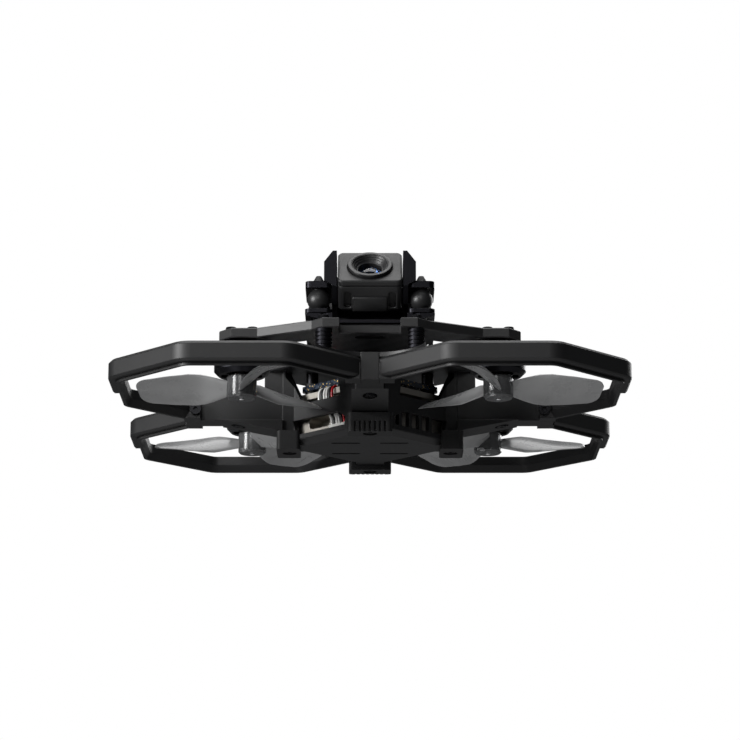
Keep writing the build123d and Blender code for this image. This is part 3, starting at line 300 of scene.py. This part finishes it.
# ---------------------------------------------------------------- screws and standoffs
# M2 screws of blackened steel with a little bright steel at their sockets, and turned aluminium
# standoffs with a knurled, black anodised skin.
def metal(name, colour, roughness, bright, grain, edge_mm=0.12, depth_mm=0.008):
    """Worked metal: fine tool lines, cloudy skin, bright where edges are rubbed through."""
    made = Finish(name, colour, roughness, Metallic=1.0)
    soft, edge = made.round_edges(edge_mm)
    cloud = made.noise(2.5, 3)
    lines = made.noise(0.09, 2, grain)
    rub = made.ramp(edge * (cloud + 0.2), 0.2, 0.9)
    made.set(Base_Color=made.mix(rub, made.mix(cloud, colour, [part * 1.5 for part in colour]), bright),
             Roughness=made.ramp(lines + cloud * 0.4, 0.4, 1.0, roughness - 0.06, roughness + 0.1),
             Normal=made.bump(lines, depth_mm, 0.5, soft))
    return made


black_steel = metal("black_steel", (0.02, 0.02, 0.022), 0.36, (0.16, 0.16, 0.165), (1, 1, 1))
knurled = metal("knurled_aluminium", (0.012, 0.012, 0.014), 0.42, (0.05, 0.05, 0.052), (1, 1, 0.1),
                0.15, 0.03)
coat_nodes(black_steel, "frame_screws", "cross_bolts", "motor_screws", "pivot_screws", "stack_spacers")
coat_nodes(knurled, "standoffs")

# ---------------------------------------------------------------- motors
# Four outrunners hang under the plate: anodised base and bell, laminated steel core, enamelled
# copper coils, a ground shaft, and twelve nickel-plated magnets glued inside each bell.
turned_black = metal("turned_black", (0.012, 0.012, 0.014), 0.34, (0.09, 0.09, 0.095), (0.03, 0.03, 1))
ground_steel = metal("ground_steel", (0.55, 0.55, 0.56), 0.22, (0.75, 0.75, 0.75), (0.1, 0.1, 1), 0.08)
laminated = metal("laminated_steel", (0.17, 0.16, 0.15), 0.42, (0.4, 0.39, 0.38), (0.02, 0.02, 1),
                  0.08, 0.02)
for corner in corners:
    coat_nodes(turned_black, "motor_base_" + corner, "bell_" + corner)
    coat_nodes(ground_steel, "shaft_" + corner)
coat_nodes(laminated, "stator_cores")

wire_mm = 0.32
copper_wire = Finish("copper_wire", (0.62, 0.25, 0.08), 0.3, Metallic=0.9, Coat_Weight=0.6,
                     Coat_Roughness=0.15)
level = copper_wire.component("Z") * (1 / (wire_mm * mm))
strand = copper_wire.fold(level + copper_wire.noise(1.5))
# painted highlight and shade: the base colour is lighter on each wire turn's crown and darker in the grooves
# between turns, broken up by noise
painted_wire_highlight = strand * 2 * copper_wire.noise(0.8)
copper_wire.set(Base_Color=copper_wire.mix(painted_wire_highlight, (0.16, 0.05, 0.015), (0.95, 0.42, 0.15)),
                Roughness=copper_wire.ramp(strand, 0, 0.5, 0.42, 0.22),
                Normal=copper_wire.bump(strand, 0.12, 0.9))
coat_nodes(copper_wire, "windings")

motor_axes = {joint["child"]: Vector(joint["pos_m"]) / mm
              for joint in frame["joints"] if joint["name"].startswith("spin_")}


def piece(name, shape, finish, body, smooth_deg=32):
    """Turn a shape drawn in millimetres into a piece that rides on a body."""
    bmesh.ops.scale(shape, vec=(mm, mm, mm), verts=shape.verts)
    mesh = bpy.data.meshes.new(name)
    shape.to_mesh(mesh)
    shape.free()
    mesh.materials.append(finish.material)
    mesh.polygons.foreach_set("use_smooth", [True] * len(mesh.polygons))
    mesh.set_sharp_from_angle(angle=radians(smooth_deg))
    made = bpy.data.objects.new(name, mesh)
    bpy.context.scene.collection.objects.link(made)
    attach(made, body)
    return made


def turned(shape, outline, axis_point, axis, side, steps=48):
    """Spin a closed outline of (radius, height) points about an axis."""
    axis_point, axis, side = Vector(axis_point), Vector(axis).normalized(), Vector(side).normalized()
    rim = [shape.verts.new(axis_point + side * radius + axis * rise) for radius, rise in outline]
    edges = [shape.edges.new(ends) for ends in zip(rim, rim[1:] + rim[:1])]
    bmesh.ops.spin(shape, geom=rim + edges, cent=axis_point, axis=axis, angle=2 * pi, steps=steps,
                   use_merge=True, use_duplicate=False)
    bmesh.ops.remove_doubles(shape, verts=shape.verts, dist=1e-4)
    bmesh.ops.recalc_face_normals(shape, faces=shape.faces)


def join(shape, part):
    """Add a finished part to a shape."""
    carrier = bpy.data.meshes.new("carrier")
    part.to_mesh(carrier)
    part.free()
    shape.from_mesh(carrier)
    bpy.data.meshes.remove(carrier)


def block(shape, size, place, turn=None, soften=0.0, segments=3):
    """A box, its edges softened if asked, with its centre at place after an optional turn."""
    part = bmesh.new()
    bmesh.ops.create_cube(part, size=1.0)
    bmesh.ops.scale(part, vec=size, verts=part.verts)
    if soften:
        bmesh.ops.bevel(part, geom=part.edges[:], offset=soften, affect="EDGES", segments=segments,
                        profile=0.5, material=-1)
    move = Matrix.Translation(place) @ (turn.to_4x4() if turn else Matrix.Identity(4))
    bmesh.ops.transform(part, matrix=move, verts=part.verts)
    join(shape, part)


nickel = metal("nickel_plate", (0.5, 0.49, 0.47), 0.26, (0.7, 0.7, 0.68), (1, 1, 0.2), 0.1)
magnet_count = 12
magnet_t, magnet_w, magnet_h = 0.65, 3.1, 4.6
magnet_lift = 0.9
glue_gap = 0.12
bell_inner_r = 7.5
up = Vector((0, 0, 1))
for corner in corners:
    axis = motor_axes["rotor_" + corner]
    bell_low, bell_high = (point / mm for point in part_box("bell_" + corner))
    magnets = bmesh.new()
    for number in range(magnet_count):
        turn = Matrix.Rotation(2 * pi * number / magnet_count, 3, "Z")
        centre = Vector((axis.x, axis.y, (bell_low.z + bell_high.z) / 2 + magnet_lift))
        centre += turn @ Vector((bell_inner_r - magnet_t / 2 - glue_gap, 0, 0))
        block(magnets, (magnet_t, magnet_w, magnet_h), centre, turn, 0.12, 2)
    piece("magnets_" + corner, magnets, nickel, "rotor_" + corner)
    # polished lip turned on the open end of the bell
    lip = bmesh.new()
    turned(lip, [(7.52, -0.55), (8.25, -0.55), (8.28, -0.3), (8.05, -0.02), (7.52, -0.02)],
           (axis.x, axis.y, bell_high.z), up, (1, 0, 0), 64)
    piece("bell_lip_" + corner, lip, ground_steel, "rotor_" + corner)
    # shielded bearing on top of the motor's base
    bearing = bmesh.new()
    base_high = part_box("motor_base_" + corner)[1].z / mm
    turned(bearing, [(0.85, 0.02), (2.2, 0.02), (2.2, 0.42), (1.95, 0.5), (1.75, 0.36), (1.2, 0.36),
                     (1.05, 0.5), (0.85, 0.5)], (axis.x, axis.y, base_high), up, (1, 0, 0))
    piece("bearing_" + corner, bearing, ground_steel, "airframe")

# silicone motor leads
lead_skin = grained("lead_silicone", (0.010, 0.010, 0.011), (0.03, 0.03, 0.03), 0.4, 0.5, 0.01, 0.1,
                    Coat_Weight=0.2)
coat_nodes(lead_skin, "motor_leads")

# ---------------------------------------------------------------- propellers
# Three wide, twisted blades with blunt tips, in milky smoked plastic, round a hub of clearer
# plastic. The hub is a ribbed cup, and two small screws sit in the disc that closes its underside.
blade_plastic = Finish("smoked_blade", (0.3, 0.302, 0.305), 0.3, Alpha=0.9, Coat_Weight=0.25,
                       Coat_Roughness=0.2, IOR=1.58)
haze = blade_plastic.noise(7, 3)
flow = blade_plastic.noise(1.1, 4)
blade_plastic.set(Base_Color=blade_plastic.mix(haze, (0.25, 0.252, 0.255), (0.40, 0.402, 0.405)),
                  Roughness=blade_plastic.ramp(haze + flow * 0.3, 0.4, 0.9, 0.22, 0.36),
                  Normal=blade_plastic.bump(flow, 0.02, 0.25))
hub_plastic = Finish("clear_hub", (0.3, 0.302, 0.305), 0.16, Transmission_Weight=0.7, IOR=1.35,
                     Coat_Weight=0.15, Coat_Roughness=0.1)
streak = hub_plastic.noise(0.8, 3, (1, 1, 0.15))
hub_plastic.set(Base_Color=hub_plastic.mix(streak, (0.12, 0.122, 0.125), (0.42, 0.424, 0.43)),
                Roughness=hub_plastic.ramp(streak, 0.3, 0.7, 0.06, 0.24),
                Normal=hub_plastic.bump(streak, 0.08, 0.3))

blade_turns = {"front_left": 50.1, "front_right": 129.9, "rear_left": 52.0, "rear_right": 128.0}
blade_count = 3
blade_pitch_mm = 62.0
steepest = radians(40)
blade_root_r = 3.6
tip_r = 31.7
tip_round = 2.9
edge_half_t = 0.12
crown_half_t = 0.6
camber = 0.11
hub_r = 4.5
hub_h = 6.9
blade_lift = 3.4
rib_count = 6
screw_reach = 2.65
chord_at = [(3.6, 5.2), (9.2, 9.4), (15.2, 12.8), (22.2, 13.7), (28.6, 12.9), (31.7, 11.4)]


def chord(radius):
    """Blade width at a radius, in even steps between its stations."""
    for (near, width_near), (far, width_far) in zip(chord_at, chord_at[1:]):
        if radius <= far:
            share = max(0.0, (radius - near) / (far - near))
            return width_near + (width_far - width_near) * share
    return chord_at[-1][1]


def blade(shape, axis, turn_deg, hand, blade_z):
    """One twisted, cambered blade, thin at its edges, shaped from a finely divided cube."""
    part = bmesh.new()
    bmesh.ops.create_cube(part, size=2.0)
    bmesh.ops.subdivide_edges(part, edges=part.edges[:], cuts=21, use_grid_fill=True)
    turn = radians(turn_deg)
    outward = Vector((cos(turn), sin(turn), 0))
    tangent = Vector((-sin(turn), cos(turn), 0))
    for vert in part.verts:
        far, wide, thick = vert.co
        radius = blade_root_r + (tip_r - blade_root_r) * (1 - max(0.0, (1 - far) / 2) ** 1.7)
        into_tip = max(0.0, radius - (tip_r - tip_round))
        half = chord(radius) / 2 - tip_round + sqrt(max(0.0, tip_round ** 2 - into_tip ** 2))
        section = sqrt(max(0.0, 1 - wide ** 2))
        fade = 1 - 0.5 * (radius - blade_root_r) / (tip_r - blade_root_r)
        rise = (edge_half_t + crown_half_t * section * fade) * thick + camber * half * (1 - wide ** 2)
        twist = hand * min(atan2(blade_pitch_mm, 2 * pi * radius), steepest)
        run = wide * half
        vert.co = (Vector((axis.x, axis.y, blade_z)) + outward * radius
                   + tangent * (run * cos(twist) - rise * sin(twist))
                   + up * (run * sin(twist) + rise * cos(twist)))
    bmesh.ops.recalc_face_normals(part, faces=part.faces)
    join(shape, part)


for corner in corners:
    axis = motor_axes["rotor_" + corner]
    bell_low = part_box("bell_" + corner)[0].z / mm
    hub_z = bell_low - hub_h
    hand = (1 if axis.x > 0 else -1) * (1 if axis.y > 0 else -1)
    blades = bmesh.new()
    for number in range(blade_count):
        blade(blades, axis, blade_turns[corner] + 360 / blade_count * number, hand, hub_z + blade_lift)
    made = piece("blades_" + corner, blades, blade_plastic, "rotor_" + corner, 60)
    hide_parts("propeller_" + corner)
    hub = bmesh.new()
    turned(hub, [(0.8, 0.0), (3.95, 0.0), (hub_r, 0.55), (hub_r, 6.5), (4.2, 6.85), (3.5, 6.85),
                 (3.5, 1.3), (1.9, 1.3), (1.9, 6.85), (0.8, 6.85)],
           (axis.x, axis.y, hub_z), up, (1, 0, 0), 64)
    for number in range(rib_count):
        turn = Matrix.Rotation(radians(blade_turns[corner] + 360 / rib_count * number), 3, "Z")
        spot = Vector((axis.x, axis.y, hub_z + 4.0)) + turn @ Vector((2.7, 0, 0))
        block(hub, (1.9, 0.55, 5.4), spot, turn, 0.08, 2)
    made = piece("hub_" + corner, hub, hub_plastic, "rotor_" + corner)
    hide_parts("propeller_" + corner)
    # two small screws in the disc
    screws = bmesh.new()
    for side in (-1, 1):
        turn = Matrix.Rotation(radians(blade_turns[corner] + 30), 3, "Z")
        spot = Vector((axis.x, axis.y, hub_z + 0.02)) + turn @ Vector((screw_reach * side, 0, 0))
        turned(screws, [(0.3, 0.2), (0.45, 0.0), (0.7, 0.0), (0.8, 0.12), (0.8, 0.6), (0.0, 0.6),
                        (0.0, 0.35), (0.28, 0.35)], spot, up, (1, 0, 0), 20)
    piece("hub_screws_" + corner, screws, black_steel, "rotor_" + corner)

# ---------------------------------------------------------------- electronics in the tub
# Video unit in a bead-blasted aluminium case with a finned lid, over it the flight board on rubber
# grommets, and the big capacitor lying on the tail bar.
blasted = Finish("blasted_aluminium", (0.55, 0.52, 0.47), 0.42, Metallic=0.85)
blasted_edges, blasted_rub = blasted.round_edges(0.25)
blast = blasted.noise(0.12, 3)
bright_spots = blasted_rub * 0.7 + blasted.noise(6) * 0.3
blasted.set(Base_Color=blasted.mix(bright_spots, (0.40, 0.375, 0.33), (0.75, 0.73, 0.69)),
            Roughness=blasted.ramp(blast, 0.3, 0.7, 0.36, 0.5),
            Normal=blasted.bump(blast, 0.015, 0.6, blasted_edges))
coat_nodes(blasted, "air_unit_case", "air_unit_fins")

solder_mask = Finish("solder_mask", (0.006, 0.012, 0.03), 0.28, Coat_Weight=0.5, Coat_Roughness=0.2)
via = solder_mask.node("ShaderNodeTexVoronoi", {}, {"Vector": solder_mask.place, "Scale": 900.0}, "Distance")
pad = via < 0.22
trace = solder_mask.noise(0.9, 0, (1, 0.12, 1)) > 0.56
lacquer = solder_mask.mix(trace, (0.004, 0.009, 0.022), (0.012, 0.026, 0.05))
solder_mask.set(Base_Color=solder_mask.mix(pad, lacquer, (0.75, 0.52, 0.2)),
                Metallic=pad,
                Roughness=solder_mask.ramp(trace * 0.5 + solder_mask.noise(2), 0, 1.5, 0.2, 0.4),
                Normal=solder_mask.bump(trace * 0.5 + pad, 0.03, 0.5))
coat_nodes(solder_mask, "flight_board")
chip_black = grained("chip_black", (0.014, 0.014, 0.015), (0.05, 0.05, 0.05), 0.36, 0.15, 0.01, 0.1)
coat_nodes(chip_black, "board_chips", "link_button")
sleeve = grained("capacitor_sleeve", (0.012, 0.014, 0.022), (0.05, 0.05, 0.06), 0.24, 0.6, 0.01, 0.2,
                 Coat_Weight=0.5)
coat_nodes(sleeve, "capacitor")

# White nylon plugs sit beside the video unit's left front face and over its lid. Red, white and
# black silicone wires run up from one to the other.
nylon_white = grained("plug_nylon", (0.72, 0.71, 0.68), (0.85, 0.84, 0.82), 0.4, 0.3, 0.01, 0.1)
wire_red = grained("wire_red", (0.62, 0.012, 0.016), (0.75, 0.1, 0.1), 0.35, 0.4, 0.008, 0.1,
                   Coat_Weight=0.3)
wire_black = grained("wire_black", (0.012, 0.012, 0.013), (0.04, 0.04, 0.04), 0.35, 0.4, 0.008, 0.1,
                     Coat_Weight=0.3)
wire_white = grained("wire_white", (0.75, 0.74, 0.72), (0.85, 0.85, 0.84), 0.35, 0.4, 0.008, 0.1,
                     Coat_Weight=0.3)

case_face_out = 16.5
wire_out = case_face_out + 0.85
wall_way = radians(225)
wall_out = Vector((cos(wall_way), sin(wall_way), 0))
wall_along = Vector((-sin(wall_way), cos(wall_way), 0))
wall_turn = Matrix((wall_along, wall_out, up)).transposed()


def beside_case(along_mm, out_mm, height_mm):
    """A point by the video unit's left front face, along it, out from the middle and up."""
    return wall_along * along_mm + wall_out * out_mm + up * height_mm


plugs = bmesh.new()
block(plugs, (7.2, 1.1, 1.7), beside_case(3.6, wire_out, 5.4), wall_turn, 0.2, 2)
block(plugs, (7.0, 2.4, 0.9), beside_case(-2.2, 14.2, 18.85), wall_turn, 0.15, 2)
piece("plug_housings", plugs, nylon_white, "airframe")


def wire(shape, points, radius):
    """A round wire along a smooth path through a few points, swept with a spline."""
    line = bpy.data.curves.new("wire_path", "CURVE")
    line.dimensions = "3D"
    line.bevel_depth = radius
    line.bevel_resolution = 2
    line.use_fill_caps = True
    spline = line.splines.new("NURBS")
    spline.points.add(len(points) - 1)
    for target, point in zip(spline.points, points):
        target.co = (*point, 1)
    spline.order_u = 3
    spline.use_endpoint_u = True
    spline.resolution_u = 5
    holder = bpy.data.objects.new("wire_path", line)
    swept = bpy.data.meshes.new_from_object(holder)
    shape.from_mesh(swept)
    bpy.data.objects.remove(holder)
    bpy.data.curves.remove(line)
    bpy.data.meshes.remove(swept)


wire_r = 0.4
low_pitch = 1.08
high_pitch = 1.15
for skin, order in ((wire_white, (0, 2, 3)), (wire_black, (1, 4)), (wire_red, (5,))):
    strands = bmesh.new()
    for number in order:
        low_along = 0.9 + low_pitch * number
        high_along = -5.0 + high_pitch * number
        wire(strands, [beside_case(low_along, wire_out, 5.6),
                       beside_case(low_along, wire_out, 8.6),
                       beside_case((low_along + high_along) / 2, wire_out, 11.8),
                       beside_case(high_along, wire_out, 14.2),
                       beside_case(high_along, wire_out, 17.6),
                       beside_case(high_along, wire_out - 1.4, 18.9),
                       beside_case(high_along, 14.6, 18.85)], wire_r)
    piece(skin.material.name + "s", strands, skin, "airframe", 60)

# ---------------------------------------------------------------- battery
# A slide-in pack in a grained black shell, with a round power button in its tail face. Four small
# charge lights lie just under the shell's skin beside it, hidden by it.
battery_shell = grained("battery_shell", (0.012, 0.012, 0.0125), (0.035, 0.035, 0.036), 0.4, 0.4, 0.03, 0.4)
coat_nodes(battery_shell, "battery_case")
button_skin = grained("button_skin", (0.02, 0.02, 0.021), (0.06, 0.06, 0.06), 0.32, 0.3, 0.008, 0.2)
coat_nodes(button_skin, "battery_button")
glow = Finish("charge_light", (0.2, 0.5, 0.25), 0.25, Emission_Strength=1.2, Coat_Weight=0.6)
glow.set(Emission_Color=glow.mix(glow.noise(0.5), (0.05, 0.45, 0.12), (0.1, 0.75, 0.25)))
pack_low, pack_high = (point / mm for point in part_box("battery_case"))
light_count = 4
first_light = 7.0
light_pitch = 2.2
lights = bmesh.new()
for number in range(light_count):
    spot = Vector((first_light + light_pitch * number, pack_high.y - 0.02,
                   (pack_low.z + pack_high.z) / 2 + 1.0))
    turned(lights, [(0.0, -0.4), (0.62, -0.4), (0.62, -0.08), (0.45, 0.0), (0.0, 0.0)],
           spot, (0, 1, 0), (1, 0, 0), 20)
piece("charge_lights", lights, glow, "battery")

# ---------------------------------------------------------------- camera
# A tilting camera: satin black body and face plate, a lens barrel with fine rings inside its rim,
# and a coated front glass with a dark stepped stack behind it.
camera_shell = grained("camera_shell", (0.009, 0.009, 0.0095), (0.03, 0.03, 0.031), 0.44, 0.25, 0.02, 0.5)
coat_nodes(camera_shell, "camera_body", "camera_bezel")
barrel_black = grained("barrel_black", (0.011, 0.011, 0.0115), (0.035, 0.035, 0.036),
                       0.38, 0.2, 0.012, 0.5)
coat_nodes(barrel_black, "lens_barrel")
coated_glass = Finish("coated_glass", (0.42, 0.6, 0.95), 0.02, Transmission_Weight=1.0, IOR=1.42,
                      Coat_Weight=0.35, Coat_Roughness=0.01)
coated_glass.set(Roughness=coated_glass.ramp(coated_glass.noise(1.5, 3), 0.3, 0.8, 0.01, 0.035))
coat_nodes(coated_glass, "lens_glass")

tilt_joint = next(joint for joint in frame["joints"] if joint["name"] == "camera_tilt")
pivot = Vector(tilt_joint["pos_m"]) / mm
camera_tilt = radians(42)
gaze = Vector((0, -cos(camera_tilt), sin(camera_tilt)))
face_out = 5.5
camera_half_h = 8.1
side_way = Vector((1, 0, 0))
rings = bmesh.new()
for radius, depth in ((5.45, -0.05), (5.0, -0.6), (4.55, -1.15)):
    turned(rings, [(radius - 0.18, depth + 0.9), (radius, depth + 0.98), (radius + 0.12, depth + 0.8),
                   (radius - 0.05, depth + 0.7)], pivot + gaze * face_out, gaze, side_way, 72)
piece("barrel_rings", rings, barrel_black, "camera")

iris_black = Finish("iris_black", (0.004, 0.004, 0.006), 0.3, Coat_Weight=0.8, Coat_Roughness=0.05)
iris_black.set(Base_Color=iris_black.mix(iris_black.noise(0.7), (0.003, 0.003, 0.005), (0.01, 0.012, 0.022)))
stack = bmesh.new()
turned(stack, [(3.55, -3.95), (3.55, -3.6), (2.6, -3.6), (2.5, -3.8), (1.6, -3.8), (1.5, -3.95),
               (0.0, -3.98), (0.0, -4.05), (3.4, -4.05)], pivot + gaze * face_out, gaze, side_way, 64)
piece("lens_stack", stack, iris_black, "camera")

# raised pad on the camera's underside
crown_way = Vector((0, sin(camera_tilt), cos(camera_tilt)))
camera_turn = Matrix((side_way, -gaze, crown_way)).transposed()
pad_back = 2.4
under_pad = bmesh.new()
block(under_pad, (10.4, 4.9, 1.2), pivot - crown_way * camera_half_h - gaze * pad_back, camera_turn, 0.35, 3)
piece("camera_pad", under_pad, camera_shell, "camera")

# The cage and its bracket are aluminium, anodised black. Four rubber balls between them take up
# vibration.
coat_nodes(turned_black, "camera_cage", "camera_bracket")
ball_rubber = grained("ball_rubber", (0.014, 0.014, 0.0145), (0.03, 0.03, 0.03), 0.42, 0.5, 0.02, 0.3)
coat_nodes(ball_rubber, "damper_balls")

# ---------------------------------------------------------------- antennas
# Two antennas in matt black sleeves stand out of the block at the tail.
antenna_skin = grained("antenna_skin", (0.012, 0.012, 0.013), (0.04, 0.04, 0.04), 0.46, 0.4, 0.02, 0.2)
coat_nodes(antenna_skin, "antennas")
